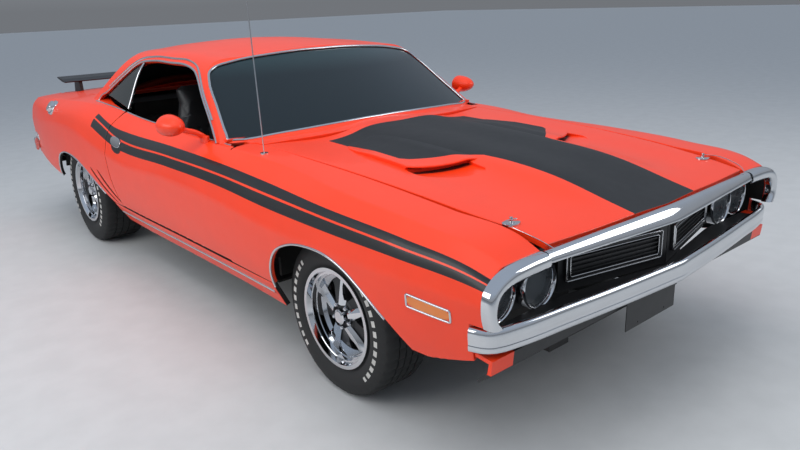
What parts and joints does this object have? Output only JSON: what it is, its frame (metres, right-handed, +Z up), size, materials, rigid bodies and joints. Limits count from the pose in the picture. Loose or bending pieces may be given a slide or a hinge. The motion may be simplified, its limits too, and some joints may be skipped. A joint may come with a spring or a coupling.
{
  "type": "two-door muscle car",
  "caption": "Two-door hardtop muscle car with long hood, short deck, quad round lamps, opening doors, hood and boot lid, steered front wheels and rear wing",
  "frame": {"origin": "on the ground, centred under the overall length and width", "axes": "X to the car's left, Y rearwards, Z up"},
  "size_m": [2.048, 4.8609, 1.68],
  "materials": {
    "body_paint": "gloss",
    "underbody": "satin",
    "bright": "polished",
    "black_plastic": "matte",
    "black_metal": "satin",
    "clear_glass": "polished",
    "amber": "gloss",
    "red_lamp": "gloss",
    "vinyl": "satin",
    "tyre_rubber": "matte",
    "iron": "matte",
    "steel": "satin",
    "soft_black": "matte"
  },
  "bodies": {
    "chassis": {"fenders": "body_paint", "quarter_panels": "body_paint", "rockers": "body_paint", "roof": "body_paint", "fixed_glass": "clear_glass", "nose_mouldings": "bright", "bumper_front": "bright", "bumper_rear": "bright", "grille": "black_plastic", "headlamps": "bright", "headlamp_lenses": "clear_glass", "front_valance": "black_metal", "tail_panel": "body_paint", "tail_lamps": "red_lamp", "marker_lamps": "amber", "antenna": "bright", "filler_cap": "bright", "front_structure": "body_paint", "floor_pan": "underbody", "dashboard": "soft_black", "steering_wheel": "soft_black", "front_seats": "vinyl", "rear_seat": "vinyl", "engine": "iron", "exhaust": "steel", "fuel_tank": "steel", "front_suspension": "black_metal", "rear_axle": "black_metal", "leaf_springs": "black_metal"},
    "hood_body": {"hood": "body_paint", "hood_brightwork": "bright"},
    "decklid_body": {"decklid": "body_paint", "rear_wing": "black_plastic"},
    "door_left_body": {"door_left": "body_paint"},
    "door_right_body": {"door_right": "body_paint"},
    "steer_left": {"knuckle_left": "iron"},
    "steer_right": {"knuckle_right": "iron"},
    "wheel_front_left": {"tyre_front_left": "tyre_rubber", "rim_front_left": "bright"},
    "wheel_front_right": {"tyre_front_right": "tyre_rubber", "rim_front_right": "bright"},
    "wheel_rear_left": {"tyre_rear_left": "tyre_rubber", "rim_rear_left": "bright"},
    "wheel_rear_right": {"tyre_rear_right": "tyre_rubber", "rim_rear_right": "bright"}
  },
  "joints": [
    {"name": "door_left_hinge", "type": "hinge", "parent": "chassis", "child": "door_left_body", "pos_m": [0.934, -0.705, 0.65], "axis": [0, 0, -1], "range_deg": [0, 65]},
    {"name": "door_right_hinge", "type": "hinge", "parent": "chassis", "child": "door_right_body", "pos_m": [-0.934, -0.705, 0.65], "axis": [0, 0, 1], "range_deg": [0, 65]},
    {"name": "hood_hinge", "type": "hinge", "parent": "chassis", "child": "hood_body", "pos_m": [0, -0.738, 0.895], "axis": [-1, 0, 0], "range_deg": [0, 50]},
    {"name": "decklid_hinge", "type": "hinge", "parent": "chassis", "child": "decklid_body", "pos_m": [0, 1.59, 0.958], "axis": [1, 0, 0], "range_deg": [0, 60]},
    {"name": "steer_left", "type": "hinge", "parent": "chassis", "child": "steer_left", "pos_m": [0.69, -1.45, 0.325], "axis": [0, 0, 1], "range_deg": [-30, 30]},
    {"name": "steer_right", "type": "hinge", "parent": "chassis", "child": "steer_right", "pos_m": [-0.69, -1.45, 0.325], "axis": [0, 0, 1], "range_deg": [-30, 30]},
    {"name": "roll_front_left", "type": "hinge", "parent": "steer_left", "child": "wheel_front_left", "pos_m": [0.742, -1.45, 0.325], "axis": [1, 0, 0], "continuous": true},
    {"name": "roll_front_right", "type": "hinge", "parent": "steer_right", "child": "wheel_front_right", "pos_m": [-0.742, -1.45, 0.325], "axis": [1, 0, 0], "continuous": true},
    {"name": "roll_rear_left", "type": "hinge", "parent": "chassis", "child": "wheel_rear_left", "pos_m": [0.758, 1.344, 0.347], "axis": [1, 0, 0], "continuous": true},
    {"name": "roll_rear_right", "type": "hinge", "parent": "chassis", "child": "wheel_rear_right", "pos_m": [-0.758, 1.344, 0.347], "axis": [1, 0, 0], "continuous": true}
  ],
  "couplings": [
    {"joint": "steer_right", "follows": "steer_left", "ratio": 1}
  ]
}
